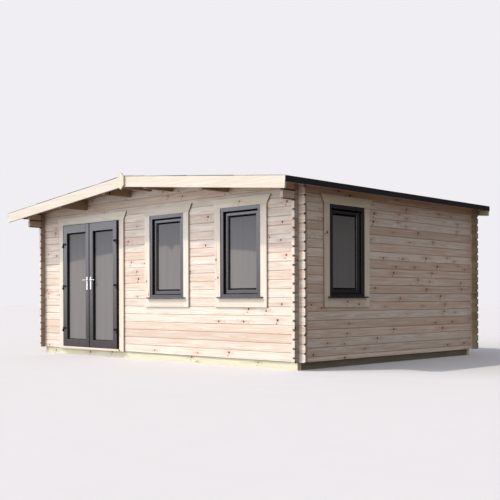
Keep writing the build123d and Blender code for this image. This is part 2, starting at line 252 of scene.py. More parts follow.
def edit_all():
    """Goes into edit mode with all of the active piece selected."""
    to_mode("EDIT")
    bpy.ops.mesh.select_all(action="SELECT")


def face_outwards(inside=False):
    """Turns every face of the active piece outwards, or the other way."""
    edit_all()
    bpy.ops.mesh.normals_make_consistent(inside=inside)
    to_mode("OBJECT")


def slab(name, low, high):
    """A plain block between two corners."""
    low, high = Vector(low), Vector(high)
    return primitive("cube", name, high - low, size=1, location=(low + high) / 2)


def pick(piece, wanted, edges=False):
    """Goes into edit mode with only those corners selected that pass the test, or edges, by both ends."""
    only(piece)
    to_mode("EDIT")
    bpy.ops.mesh.select_mode(type="EDGE" if edges else "VERT")
    bpy.ops.mesh.select_all(action="DESELECT")
    to_mode("OBJECT")
    corners = piece.data.vertices
    for part in piece.data.edges if edges else corners:
        ends = part.vertices if edges else [part.index]
        part.select = bool(wanted(*(corners[n].co for n in ends)))
    to_mode("EDIT")


def extrude(x, y, z):
    """Pulls what is selected out by one step."""
    bpy.ops.mesh.extrude_region_move(TRANSFORM_OT_translate={"value": (x, y, z)})


def shift(piece, wanted, step):
    """Moves the corners that pass the test by one step."""
    pick(piece, wanted)
    bpy.ops.transform.translate(value=step)
    to_mode("OBJECT")


def ease(piece, width=2 * MM, segments=2):
    """Takes the sharpness off every edge, as a plane or sandpaper does."""
    modify(piece, "BEVEL", width=width, segments=segments, limit_method="ANGLE", angle_limit=radians(25))
    bpy.ops.object.shade_smooth_by_angle(angle=radians(35))
    return piece


# %% [markdown]
# Wood grain follows each board, not the cabin. So each board notes on its own mesh how far every point lies
# along and across it, a few random numbers that stand for its tree, and which faces take the end colour: its
# sawn ends, and on some boards the narrow edges too, where that colour is painted shade. One wood material
# can then read those notes on every board.

# %% Laying the grain
def draw_lot(piece):
    """Notes on the mesh a few random numbers, the same for the whole board."""
    chance = Random(piece.name)
    lot = [chance.random() for n in range(3)]
    notes = piece.data.attributes.get("lot") or piece.data.attributes.new("lot", "FLOAT_VECTOR", "POINT")
    notes.data.foreach_set("vector", lot * len(piece.data.vertices))


def lay_grain(piece, grain, painted_shade_edges=False):
    """Notes on the mesh where each point lies in the board, whose fibres run along X, Y or Z."""
    mesh = piece.data
    places = [vertex.co.copy() for vertex in mesh.vertices]
    low = [min(place[n] for place in places) for n in range(3)]
    high = [max(place[n] for place in places) for n in range(3)]
    along = "XYZ".index(grain)
    wide, thin = sorted((n for n in range(3) if n != along), key=lambda n: low[n] - high[n])
    own = []
    for place in places:
        own += [place[n] - (low[n] + high[n]) / 2 for n in (along, wide, thin)]
    mesh.attributes.new("grain_place", "FLOAT_VECTOR", "POINT").data.foreach_set("vector", own)
    draw_lot(piece)
    # Ends take the end-grain colour. When asked, the narrow edges take it too, and there that dark colour is
    # painted shade.
    ends = [float(abs(face.normal[along]) > 0.7 or (painted_shade_edges and abs(face.normal[thin]) < 0.3))
            for face in mesh.polygons]
    mesh.attributes.new("end_grain", "FLOAT", "FACE").data.foreach_set("value", ends)
    return piece


# %% Copying, joining and fitting pieces
def copy_of(piece, name, step=(0, 0, 0), turn=0.0, mirrored=False):
    """A copy with its own mesh, turned about Z and moved, or mirrored left to right, all within its mesh."""
    only(piece)
    bpy.ops.object.duplicate(linked=False)
    copy = bpy.context.object
    copy.name = copy.data.name = name
    copy.location = step
    copy.rotation_euler.z = turn
    copy.scale.x = -1 if mirrored else 1
    bpy.ops.object.transform_apply(location=True, rotation=True, scale=True)
    if mirrored:
        face_outwards()
    return copy


def join(name, pieces):
    """Several pieces as one mesh."""
    bpy.ops.object.select_all(action="DESELECT")
    for piece in pieces:
        piece.select_set(True)
    bpy.context.view_layer.objects.active = pieces[0]
    bpy.ops.object.join()
    pieces[0].name = pieces[0].data.name = name
    return pieces[0]


def remove(*pieces):
    """Takes away the pieces that were only there to be copied."""
    for piece in pieces:
        bpy.data.objects.remove(piece)


def fit(piece, material, slot, *stands_for, body="cabin"):
    """Gives a piece its finish, the body that it moves with, and the solids that it is shown in place of."""
    modify(piece, "WEIGHTED_NORMAL", keep_sharp=True)
    coat(piece, material)
    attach(piece, body)
    if stands_for:
        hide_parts(*stands_for)


# %% [markdown]
# ## Planed spruce
# The logs and boards are planed Nordic spruce: cream, with faint warm year rings, small dark knots, often
# in pairs, and a reddish flame where the fibres swirl round a knot. A flat texture would repeat and slide
# round corners, so the wood is worked out in space: rings around a pith, and one chance of a knot per
# stretch. On a wall, each log is a row of its own. On a loose board, the notes on its mesh say where each
# point lies.

# %% Where a point lies in its log or board
def in_a_row(add, place, grain, stacked, pitch, first, middle, seed=0.0, ends=None, shade_side=(1, 0, 0)):
    """Place in one of a stack of equal logs or boards, from the place in the cabin."""
    normal = add("TexCoord").outputs["Normal"]
    spot = add("SeparateXYZ", [place]).outputs
    third = ({"X", "Y", "Z"} - {grain, stacked}).pop()
    count = add("Math DIVIDE", [add("Math SUBTRACT", [spot[stacked], first]), pitch])
    row = add("Math ADD", [add("Math FLOOR", [count]), 31.7 + seed])
    chance = add("TexWhiteNoise", [row], noise_dimensions="1D").outputs["Color"]
    across = add("Math MULTIPLY_ADD", [add("Math FRACT", [count]), pitch, -pitch / 2])
    turned = add("Math ABSOLUTE", [add("SeparateXYZ", [normal]).outputs[grain]])
    found = {"along": spot[grain], "across": across, "deep": add("Math SUBTRACT", [spot[third], middle]),
             "lot": add("SeparateColor", [chance]).outputs, "end": add("MapRange", [turned, 0.7, 0.9]),
             "edge": add("Math SUBTRACT", [pitch / 2, add("Math ABSOLUTE", [across])])}
    # For logs with ends: how far each point lies from the nearer end, and how far its face turns to the side
    # that takes painted shade past the corner.
    if ends:
        centred = add("Math ABSOLUTE", [add("Math SUBTRACT", [spot[grain], sum(ends) / 2])])
        found["to_end"] = add("Math SUBTRACT", [(ends[1] - ends[0]) / 2, centred])
        found["wet"] = add("VectorMath DOT_PRODUCT", [normal, shade_side])
    return found


def on_a_board(add):
    """Place in a loose board, from the notes on its mesh."""
    spot, lot = (add("SeparateXYZ", [add("Attribute", attribute_name=name).outputs["Vector"]]).outputs
                 for name in ("grain_place", "lot"))
    end = add("Attribute", attribute_name="end_grain").outputs["Fac"]
    return {"along": spot[0], "across": spot[1], "deep": spot[2], "lot": lot, "end": end}


# %% Knots, year rings and corners
KNOT_SPACING = 450 * MM     # a log has one chance of a knot in each such stretch
RING_WIDTH = 7 * MM         # wider than real year rings, so that they show from a few metres


def knots_in(add, place, run, across, knots):
    """Knots in this share of the stretches, the flame of swirled wood round each, and how brown they are."""
    ragged = add("TexNoise", {"Vector": place, "Scale": 70.0})
    cell = add("Math DIVIDE", [run, KNOT_SPACING])
    knot = add("TexVoronoi", {"W": cell, "Scale": 1.0, "Randomness": 0.9}, voronoi_dimensions="1D").outputs
    kind = add("SeparateColor", [knot["Color"]]).outputs
    ahead = add("Math MULTIPLY", [add("Math SUBTRACT", [cell, knot["W"]]), KNOT_SPACING])
    centre = add("Math MULTIPLY_ADD", [kind[0], 70 * MM, -35 * MM])
    spot = add("CombineXYZ", [ahead, add("Math SUBTRACT", [across, centre])])
    size = add("Math MULTIPLY_ADD", [kind[1], 9 * MM, 11 * MM])
    size = add("Math MULTIPLY", [size, add("Math LESS_THAN", [kind[2], knots])])
    size = add("Math MAXIMUM", [size, 0.2 * MM])
    cores = []
    for beside, share in (((0, 0, 0), 1.0), ((-20 * MM, -42 * MM, 0), 0.6)):
        away = add("VectorMath LENGTH", [add("VectorMath SUBTRACT", [spot, beside])])
        away = add("Math DIVIDE", [add("Math MULTIPLY_ADD", [ragged, 4 * MM, away]), size])
        cores.append(add("MapRange", [away, 0.8 * share, 1.25 * share, 1.0, 0.0], **SMOOTH))
    drawn_out = add("VectorMath LENGTH", [add("VectorMath MULTIPLY", [spot, (0.2, 1, 0)])])
    flame = add("MapRange", [add("Math DIVIDE", [drawn_out, size]), 0.3, 2.8, 1.0, 0.0], **SMOOTH)
    return add("Math MAXIMUM", cores), flame, add("MapRange", [kind[2], 0.12 * knots, 0.16 * knots])


def rings_in(add, drift, spot, flame):
    """The dark late wood of the year rings, around a pith that wanders beside the board."""
    swing = add("Math MULTIPLY_ADD", [stretched_noise(add, drift, (0.9, 9, 9)), 50 * MM, -25 * MM])
    pith = add("CombineXYZ", [None, spot["lot"][1], spot["lot"][2]])
    pith = add("VectorMath MULTIPLY_ADD", [pith, (0, 80 * MM, 60 * MM), (0, -40 * MM, -80 * MM)])
    section = add("CombineXYZ", [None, spot["across"], spot["deep"]])
    for step in (pith, add("CombineXYZ", [None, swing, swing])):
        section = add("VectorMath ADD", [section, step])
    radius = add("Math MULTIPLY_ADD", [flame, 14 * MM, add("VectorMath LENGTH", [section])])
    return add("MapRange", [add("Math PINGPONG", [radius, RING_WIDTH / 2]), 1.2 * MM, 3.4 * MM], **SMOOTH)


def corner_shade(add, spot):
    """Painted shade at the corners: dark in the notches where the logs cross, and darker on the log ends past
    the corner, on faces that turn to the given side.
    """
    near = add("MapRange", [spot["to_end"], 14 * MM, 30 * MM, 1.0, 0.0], **SMOOTH)
    notch_shade = add("MapRange", [spot["edge"], 8 * MM, 15 * MM, 1.0, 0.0], **SMOOTH)
    past = add("Math COMPARE", [spot["to_end"], LOG_END / 2, LOG_END / 2 + 1 * MM])
    end_face_shade = add("MapRange", [add("Math MULTIPLY", [past, spot["wet"]]), 0.4, 0.8, 1.0, 0.57])
    return add("Math MULTIPLY", [near, notch_shade]), end_face_shade


# %% Wood
def softwood(name, colours, rows=None, knots=0.35, joint=0.0):
    """Planed softwood, with colours for early wood, streaks, late rings, flames, knots and end grain; on the
    casing boards that last colour is also painted shade on the narrow edges.
    """
    material, add, place = new_material(name)
    spot = in_a_row(add, place, *rows) if rows else on_a_board(add)
    lot = spot["lot"]
    run = add("Math MULTIPLY_ADD", [lot[0], 37.0, spot["along"]])
    drift = add("CombineXYZ", [run, spot["across"], spot["deep"]])
    core, flame, brown = knots_in(add, place, run, spot["across"], knots)
    late = rings_in(add, drift, spot, flame)

    # Broad streaks are what shows from a distance, and fine fibres show close by.
    broad = stretched_noise(add, drift, (1.6, 42, 42), 4.0, 0.6)
    broad = add("MapRange", [add("Math MULTIPLY_ADD", [lot[2], 0.22, broad]), 0.46, 0.80], **SMOOTH)
    fine = stretched_noise(add, drift, (14, 420, 420))
    fibre = add("MapRange", [fine, 0.45, 0.75, 0.0, 0.12])

    # Each layer covers this share of what is below with its colour, or tones it where there is no share.
    colour, warm, ring_wood, flame_wood, knot_wood, end_and_edge_shade = (linear(colour) for colour in colours)
    knot_wood = add("Mix", [brown, linear("8a3a2c"), knot_wood], data_type="RGBA")
    tone = add("MapRange", [lot[1], None, None, 0.88, 1.06])
    layers = [(broad, 1.0, warm), (1.0, None, tone), (late, 0.4, ring_wood), (fibre, 1.0, ring_wood),
              (flame, 0.35, flame_wood), (core, 0.92, knot_wood), (spot["end"], 0.6, end_and_edge_shade)]
    if joint:
        gap = add("MapRange", [spot["edge"], joint / 2, joint, 1.0, 0.0], **SMOOTH)
        layers.append((gap, 0.6, linear("6b4a38")))
    # Painted shade where the logs cross: near-black notches, and log ends past the corner darker on one side.
    if "to_end" in spot:
        notch_shade, end_face_shade = corner_shade(add, spot)
        layers += [(notch_shade, 0.85, linear("3a2a22")), (1.0, None, end_face_shade)]
    for amount, share, over in layers:
        if share:
            amount = add("Math MULTIPLY", [amount, share])
        how = "MIX" if share else "MULTIPLY"
        colour = add("Mix", [amount, colour, over], data_type="RGBA", blend_type=how)
    relief = add("Bump", {"Strength": 0.3, "Distance": 0.5 * MM, "Height": add("Math ADD", [fine, late])})
    look = {"Base Color": colour, "Normal": relief, "Roughness": add("Math MULTIPLY_ADD", [late, -0.08, 0.6]),
            "IOR": 1.45, "Specular IOR Level": 0.35}
    add("OutputMaterial", [add("BsdfPrincipled", look)])
    return material


# %% Spruce for each use
SPRUCE = ("f1e7d8", "e4cbb6", "cdae96", "c98f7a", "1c100e", "dcc6b0")
DRY_SPRUCE = ("eee5da", "dac0ad", "b89884", "b87f6c", "1c100e", "eedfcd")
# A darker, browner copy of the spruce: painted shade for the back wall.
SHADED_BACK_SPRUCE = ("dccab4", "c6a88c", "a98a6e", "a9765c", "2a1713", "a98a70")
WHITE_SPRUCE = ("eee6d6", "e6d8c2", "d6c0a4", "d2a688", "4a2c22", "d8c4aa")
EDGE_SPRUCE = ("e5dcce", "dbcebb", "cbb59d", "c89c80", "3e2820", "cdbda2")
# A darker copy of the spruce: painted shade for the underside of the roof and the purlins.
SHADED_ROOF_SPRUCE = ("b8a28b", "a48a72", "8d7259", "8d5f49", "241411", "8d7259")
# Casing boards: the last colour is a dark brown, which paints shade on the narrow edges of the boards.
EDGE_SHADE_SPRUCE = (*WHITE_SPRUCE[:5], "7d634c")
TREATED = ("f2ebce", "e6dcb6", "cdc294", "ac9c6e", "5a4a32", "cbc096")
# A much darker copy of the treated colours: painted shade for the bearers along the sides and the joists.
SHADED_TREATED = ("837e6b", "716c5b", "625d4c", "5e5641", "322a1f", "625d4c")
half_log = LOG_COVER / 2
inside = LOG_THICKNESS / 2
wide_ends = tuple(corner.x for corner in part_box("back_wall"))
deep_ends = (front_y - LOG_END, back_y + LOG_END)
front_logs = softwood("spruce_logs_front", SPRUCE, joint=2 * MM,
                      rows=("X", "Z", LOG_COVER, foot_z, front_y + inside, 0, wide_ends))
# The back logs take that painted shade past the corners on faces turned right and on faces turned to the
# front.
back_logs = softwood("spruce_logs_back", SHADED_BACK_SPRUCE, joint=2 * MM,
                     rows=("X", "Z", LOG_COVER, foot_z, back_y - inside, 40, wide_ends, (1, -1, 0)))
right_logs = softwood("spruce_logs_right", DRY_SPRUCE, joint=3 * MM,
                      rows=("Y", "Z", LOG_COVER, foot_z + half_log, side_x - inside, 80, deep_ends))
left_logs = softwood("spruce_logs_left", DRY_SPRUCE, joint=3 * MM,
                     rows=("Y", "Z", LOG_COVER, foot_z + half_log, inside - side_x, 120, deep_ends))
trim_wood = softwood("white_spruce_boards", WHITE_SPRUCE, knots=0.25)
casing_wood = softwood("spruce_casing_boards", EDGE_SHADE_SPRUCE, knots=0.25)
barge_wood = softwood("spruce_barge_boards", EDGE_SPRUCE, knots=0.12)
print("the wood is ready")

# %% [markdown]
# ## Paint, glass, felt, metal and rubber
# The joinery is spruce under a satin water-based paint in anthracite. It is nearly black by itself and
# shows the sky in its gloss, with the faint ribs of the grain below. The brush leaves long soft marks.

# %% Satin anthracite paint
paint, add, place = new_material("anthracite_satin_paint")
ribs = stretched_noise(add, place, (160, 160, 9), 3.0)
cloud = add("TexNoise", {"Vector": place, "Scale": 5.0, "Detail": 3.0})
tone = add("MapRange", [cloud, 0.3, 0.7, 0.85, 1.12])
shade = add("Mix", [1.0, linear("362f34"), tone], data_type="RGBA", blend_type="MULTIPLY")
gloss = add("MapRange", [cloud, 0.3, 0.7, 0.20, 0.24])
relief = add("Bump", {"Strength": 0.04, "Distance": 0.1 * MM, "Height": ribs})
look = {"Base Color": shade, "Normal": relief, "Roughness": gloss, "IOR": 1.5, "Specular IOR Level": 1.0}
add("OutputMaterial", [add("BsdfPrincipled", look)])

# %% [markdown]
# The panes are float glass with a pale grey inner coating, so the room behind shows only as a soft grey and
# the eaves' shadow still falls on the pane. A clear polished face lies over the grey, and rain has left
# faint streaks. Such a coating takes more light from the sky than from the ground. A bump that grows with
# height, as if the pane leaned back, gives the same effect.

# %% Glass with a grey coating
LEAN = -0.6                 # of the bump, in metres for each metre of height
glass, add, place = new_material("grey_coated_float_glass")
streaks = add("MapRange", [stretched_noise(add, place, (17, 17, 0.5), 3.0), 0.3, 0.7])
shade = add("Mix", [streaks, linear("787473"), linear("7e7a78")], data_type="RGBA")
lean = add("Math MULTIPLY", [add("SeparateXYZ", [place]).outputs["Z"], LEAN])
lean = add("Bump", {"Strength": 1.0, "Distance": 1.0, "Height": lean})
look = {"Base Color": shade, "Normal": lean, "Roughness": 0.5, "Specular IOR Level": 0.0,
        "Coat Weight": 0.2, "Coat Roughness": 0.03}
add("OutputMaterial", [add("BsdfPrincipled", look)])

# %% [markdown]
# Roofing felt is bitumen with crushed slate rolled into it: dead matt, nearly black, with a glint here and
# there. The granules are about a millimetre across. They are drawn at 4 mm so that they show from the
# ground.

# %% Felt with slate granules
felt, add, place = new_material("slate_faced_bitumen_felt")
grit = add("TexVoronoi", {"Vector": place, "Scale": 250.0}).outputs
patch = add("TexNoise", {"Vector": place, "Scale": 1.7, "Detail": 4.0})
amount = add("Math MULTIPLY_ADD", [patch, 0.8, add("SeparateColor", [grit["Color"]])])
amount = add("MapRange", [amount, 0.2, 1.6])
shade = add("Mix", [amount, linear("121113"), linear("343236")], data_type="RGBA")
relief = add("Bump", {"Strength": 0.6, "Distance": 1 * MM, "Height": grit["Distance"]})
look = {"Base Color": shade, "Normal": relief, "Roughness": 0.9, "Specular IOR Level": 0.25}
add("OutputMaterial", [add("BsdfPrincipled", look)])

# %% [markdown]
# The levers and their plates are anodised aluminium with a fine satin brushing. Nails and screws are bright
# zinc, hinges are black powder-coated steel, slightly pebbled, and seals are black rubber.

# %% Metals and rubber
def grained(name, dark, pale, scales, roughest, bump, specular=None):
    """A finish whose colour and gloss both follow one fine noise. One without a specular level is a metal."""
    material, add, place = new_material(name)
    noise = add("MapRange", [stretched_noise(add, place, scales, 3.0), 0.3, 0.7])
    shade = add("Mix", [noise, linear(dark), linear(pale)], data_type="RGBA")
    gloss = add("MapRange", [noise, None, None, *roughest])
    relief = add("Bump", {"Strength": bump, "Distance": 0.2 * MM, "Height": noise})
    look = {"Base Color": shade, "Roughness": gloss, "Normal": relief}
    look.update({"Metallic": 1.0} if specular is None else {"Specular IOR Level": specular})
    add("OutputMaterial", [add("BsdfPrincipled", look)])
    return material


silver = grained("satin_anodised_aluminium", "e6e7ea", "f4f4f6", (900, 900, 60), (0.36, 0.46), 0.1)
zinc = grained("zinc_plated_steel", "a9abae", "c6c8ca", (400, 400, 400), (0.32, 0.5), 0.2)
black_steel = grained("powder_coated_steel", "08080a", "101013", (700, 700, 700), (0.5, 0.62), 0.3, 0.25)
rubber = grained("black_rubber_seal", "050506", "09090a", (120, 120, 120), (0.75, 0.9), 0.1, 0.06)
print("paint, glass, felt, metals and rubber are ready")

# %% [markdown]
# ## Trim boards round the openings
# Each opening is cased with planed boards nailed over the joint between the logs and the frame: two
# uprights, a head board whose ends lean outwards, and under a window a foot board. They could be left as
# the CAD ring, but then the grain would run through the corners, so each board is its own. Every window is
# the same, so its boards are made once, flat in front of the origin, and copied to each place.

# %% Places of the windows
def middle_of(node):
    """Middle of the box of a CAD node."""
    low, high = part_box(node)
    return (low + high) / 2


spots = [(name, (middle_of(name + "_glass").x, front_y, 0), 0.0)
         for name in ("front_left_window", "front_right_window")]
spots.append(("side_window", (side_x, middle_of("side_window_glass").y, 0), pi / 2))
first_place = Vector(spots[0][1])
(sash_low, sash_high), (pane_low, pane_high), (frame_low, frame_high), (trim_low, trim_high) = (
    [corner - first_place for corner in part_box("front_left_window_" + part)]
    for part in ("sash", "glass", "frame", "trim"))
head_z = trim_high.z - HEAD_HEIGHT
window_foot = trim_low.z + FOOT_HEIGHT
half_window = trim_high.x - HEAD_LEAN - TRIM_WIDTH
print("a window is", round(2 * half_window, 3), "wide and", round(head_z - window_foot, 3), "high")


# %% Casing an opening
def casing(half, foot, foot_board):
    """Boards round an opening that is twice half wide, flat in front of the origin."""
    outer = half + TRIM_WIDTH
    wide = outer + HEAD_LEAN
    face, back = trim_low.y, trim_high.y
    boards = {"left_upright": ((-outer, face, foot), (-half, back, head_z)),
              "right_upright": ((half, face, foot), (outer, back, head_z)),
              "head_board": ((-wide, face, head_z), (wide, back, head_z + HEAD_HEIGHT))}
    if foot_board:
        boards["foot_board"] = ((-half, face, foot), (half, back, foot + FOOT_HEIGHT))
    boards = {name: slab(name, *corners) for name, corners in boards.items()}
    head = boards["head_board"]
    for side in (-1, 1):
        shift(head, lambda co: co.z < head_z + 1 * MM and co.x * side > 0, (-side * HEAD_LEAN, 0, 0))
    for name, board in boards.items():
        # The narrow edges take the dark last colour of the casing wood, as painted shade.
        lay_grain(ease(board), "Z" if "upright" in name else "X", painted_shade_edges=True)
    return boards


# %% [markdown]
# The boards are held by small nails, two to a place. A nail head is a short cylinder with a rounded rim,
# made once. Its shaft is inside the board and is left out.

# %% Nails in a casing
def disc(name, place, radius, thickness, vertices=20, rim=None, segments=2):
    """A short cylinder that faces the front, with its rim rounded."""
    piece = primitive("cylinder", name, vertices=vertices, radius=radius, depth=thickness, location=place,
                      rotation=(pi / 2, 0, 0))
    return ease(piece, rim or thickness / 4, segments)


nail = disc("nail", (0, 0, 0), 3.5 * MM, 1.6 * MM, 10, 0.5 * MM, 1)


def nails(name, places):
    """Nail heads at these places, facing the front."""
    return join(name, [copy_of(nail, name, place) for place in places])


def casing_nails(half, foot):
    """Places of the nails in one casing, in pairs up each upright and along the head board."""
    inset, end, lift, steps = 28 * MM, 60 * MM, 34 * MM, 4
    heights = [foot + end + (head_z - foot - 2 * end) * n / steps for n in range(steps + 1)]
    places = [(side * (half + x), trim_low.y, z) for z in heights for side in (-1, 1)
              for x in (inset, TRIM_WIDTH - inset)]
    return places + [(x, trim_low.y, head_z + HEAD_HEIGHT / 2 + z) for x in (-half, -half / 3, half / 3, half)
                     for z in (-lift, lift)]


# %% Casing the windows and the doorway
window_casing = casing(half_window, window_foot - FOOT_HEIGHT, True)
window_nails = nails("window_casing_nails", casing_nails(half_window, window_foot))
for window, place, turn in spots:
    for name, board in window_casing.items():
        piece = copy_of(board, f"{window}_{name}", place, turn)
        draw_lot(piece)
        fit(piece, casing_wood, "trim_wood", window + "_trim")
    fit(copy_of(window_nails, window + "_nails", place, turn), zinc, "trim_wood")

door_x = middle_of("door_trim").x
half_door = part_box("door_trim")[1].x - door_x - HEAD_LEAN - TRIM_WIDTH
door_place = (door_x, front_y, 0)
door_casing = casing(half_door, foot_z, False)
for name, board in door_casing.items():
    fit(copy_of(board, "door_" + name, door_place), casing_wood, "trim_wood", "door_trim")
door_nails = nails("door_nails", casing_nails(half_door, foot_z))
fit(copy_of(door_nails, "door_casing_nails", door_place), zinc, "trim_wood")
remove(window_nails, door_nails, *window_casing.values(), *door_casing.values())
print("casings:", len(spots), "windows and the doorway")

# %% [markdown]
# ## Windows
# A window is two frames, one in the other. The fixed frame fills the hole in the logs and has a sill with
# horns that throws the rain off the boards below. The sash sits back in it, and the pane deeper again in
# the sash, behind a bead and a black rubber seal. The rubber rings round the pane and on the face of the sash
# are much wider than real seals, so their black is partly seal and partly painted shade in the reveals. Each
# step back throws a dark line, which makes a window look deep, so every member is a board of its own. The
# bead and the seals are thin mitred rings: a plane is inset, its middle is pushed back and taken out, and
# what is left is given a thickness.

# %% A mitred ring and a frame
def mitred_ring(name, low, high, face, width, fall, thickness):
    """A thin four-sided ring that faces the front, and falls back from its outer to its inner edge."""
    middle = ((low.x + high.x) / 2, face, (low.z + high.z) / 2)
    ring = primitive("plane", name, (high.x - low.x, high.z - low.z, 1), size=1, location=middle,
                     rotation=(pi / 2, 0, 0))
    edit_all()
    bpy.ops.mesh.inset(thickness=width)
    bpy.ops.transform.translate(value=(0, fall, 0))
    bpy.ops.mesh.delete(type="ONLY_FACE")
    to_mode("OBJECT")
    modify(ring, "SOLIDIFY", thickness=thickness, offset=-1)
    return ease(ring, thickness / 6, 1)


def four_members(name, low, high, width):
    """Stiles and rails of a frame: the stiles run through and the rails fit between them."""
    left, right = low.x + width, high.x - width
    members = {
        "left_stile": ((low.x, low.y, low.z), (left, high.y, high.z)),
        "right_stile": ((right, low.y, low.z), (high.x, high.y, high.z)),
        "foot_rail": ((left, low.y, low.z), (right, high.y, low.z + width)),
        "head_rail": ((left, low.y, high.z - width), (right, high.y, high.z))}
    return {f"{name}_{part}": ease(slab(part, *corners), 1.5 * MM) for part, corners in members.items()}


# %% Window parts, flat in front of the origin
FRAME_DEPTH = 92 * MM
SILL_HEIGHT = 20 * MM
BEAD_WIDTH = 6 * MM
SEAL_SHADE_WIDTH = 18 * MM
SASH_SEAL_SHADE = 22 * MM
TUCK = Vector((0, 0, 11 * MM))      # a seal reaches this far behind the rail below it
frame_face = frame_high.y - FRAME_DEPTH
member = sash_low.x + half_window
sash_gap = Vector((1.5 * MM, 0, 1.5 * MM))
sash_member = pane_low.x - sash_low.x - BEAD_WIDTH - SEAL_SHADE_WIDTH
seal_rim = Vector((SEAL_SHADE_WIDTH, 0, SEAL_SHADE_WIDTH))
bead_rim = seal_rim + Vector((BEAD_WIDTH, 0, BEAD_WIDTH))
sill_nose = frame_low.y - 12 * MM
sill_top = window_foot + SILL_HEIGHT

window_parts = {
    **four_members("frame", Vector((-half_window, frame_face, window_foot)),
                   Vector((half_window, frame_high.y, head_z)), member),
    **four_members("sash", sash_low + sash_gap, sash_high - sash_gap, sash_member),
    "bead": mitred_ring("bead", pane_low - bead_rim, pane_high + bead_rim, pane_low.y - 12 * MM, BEAD_WIDTH,
                        4 * MM, 9 * MM),
    "sill": slab("sill", (frame_low.x, sill_nose, window_foot), (frame_high.x, trim_low.y, sill_top)),
    "sill_back": ease(slab("sill_back", (-half_window, trim_low.y, window_foot),
                           (half_window, frame_face, sill_top)), 1 * MM)}
sill = window_parts["sill"]
shift(sill, lambda co: co.z > sill_top - 1 * MM and co.y < sill_nose + 1 * MM, (0, 0, -5 * MM))
ease(sill, 3 * MM)
# Black rubber rings, much wider than real seals: partly seal, partly painted shade in the reveals.
window_seal = join("window_seal", [
    mitred_ring("seal", pane_low - seal_rim - TUCK, pane_high + seal_rim, pane_low.y - 4 * MM, SEAL_SHADE_WIDTH,
                2 * MM, 3 * MM),
    mitred_ring("sash_seal", sash_low - TUCK, sash_high, sash_low.y - 1 * MM, SASH_SEAL_SHADE, 0, 5 * MM)])
for window, place, turn in spots:
    for name, part in window_parts.items():
        node = window + ("_sash" if name.startswith(("sash", "bead")) else "_frame")
        fit(copy_of(part, f"{window}_{name}", place, turn), paint, "painted_wood", node)
    fit(copy_of(window_seal, window + "_seals", place, turn), rubber, "painted_wood")
    coat(nodes[window + "_glass"], glass)
remove(window_seal, *window_parts.values())
print("windows:", len(spots), "of", len(window_parts) + 2, "pieces each")

# %% [markdown]
# ## Doors
# Each leaf is a joined frame of two stiles and two rails round one tall pane. The pane sits deep, against a
# wide black rubber seal, whose black is partly seal and partly painted shade for the reveal on the side away
# from the light. The leaves are mirror images, so one loop makes both. The meeting edges are planed back and
# eased more, and a rubber strip closes the gap between them.

# %% Door leaves
DOOR_SEAL_SHADE = 20 * MM
EDGE_PLANED = 6 * MM        # off each meeting edge, to leave a gap for the strip
seal_spread = Vector((0.5 * MM, 0, 0.5 * MM))
for side, hand in ((-1, "left"), (1, "right")):
    leaf = hand + "_leaf"
    leaf_low, leaf_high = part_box(hand + "_door")
    glass_low, glass_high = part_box(hand + "_door_glass")
    meeting, hinged = sorted((leaf_low.x, leaf_high.x), key=lambda x: abs(x - door_x))
    meeting += side * EDGE_PLANED
    inner, outer = sorted((glass_low.x, glass_high.x), key=lambda x: abs(x - door_x))
    for part, near, far, foot, head in (("meeting_stile", meeting, inner, leaf_low.z, leaf_high.z),
                                        ("hinge_stile", outer, hinged, leaf_low.z, leaf_high.z),
                                        ("bottom_rail", inner, outer, leaf_low.z, glass_low.z),
                                        ("top_rail", inner, outer, glass_high.z, leaf_high.z)):
        left, right = sorted((near, far))
        piece = slab(f"{hand}_door_{part}", (left, leaf_low.y, foot), (right, leaf_high.y, head))
        ease(piece, 5 * MM if part == "meeting_stile" else 1.5 * MM)
        fit(piece, paint, "painted_wood", hand + "_door", body=leaf)
    # Wide rubber rings round the pane: partly seal, partly painted shade in the reveals.
    low, high = glass_low - seal_spread - TUCK, glass_high + seal_spread
    seals = [mitred_ring("seal", low, high, face, DOOR_SEAL_SHADE, fall, 3 * MM)
             for face, fall in ((glass_low.y - 4 * MM, 2 * MM), (glass_high.y + 2 * MM, -2 * MM))]
    fit(join(hand + "_door_seals", seals), rubber, "painted_wood", body=leaf)
    coat(nodes[hand + "_door_glass"], glass)
    if hand == "left":
        strip = slab("meeting_seal", (meeting - 1 * MM, leaf_low.y + 9 * MM, leaf_low.z + 4 * MM),
                     (leaf_high.x + 4 * MM, leaf_low.y + 24 * MM, leaf_high.z - 4 * MM))
        fit(ease(strip, 1.5 * MM), rubber, "painted_wood", body=leaf)
print("door leaves: 2 of 4 members")

# %% [markdown]
# ## Door furniture
# A long satin aluminium plate covers the lock on each face of each leaf, with a lever above and a keyhole
# below. The lever is drawn like a bent bar: a circle is pulled out of the plate, spun through a quarter
# turn, pulled along and closed with a rounded end. One lever is modelled, and the four are copies of it,
# turned or mirrored.

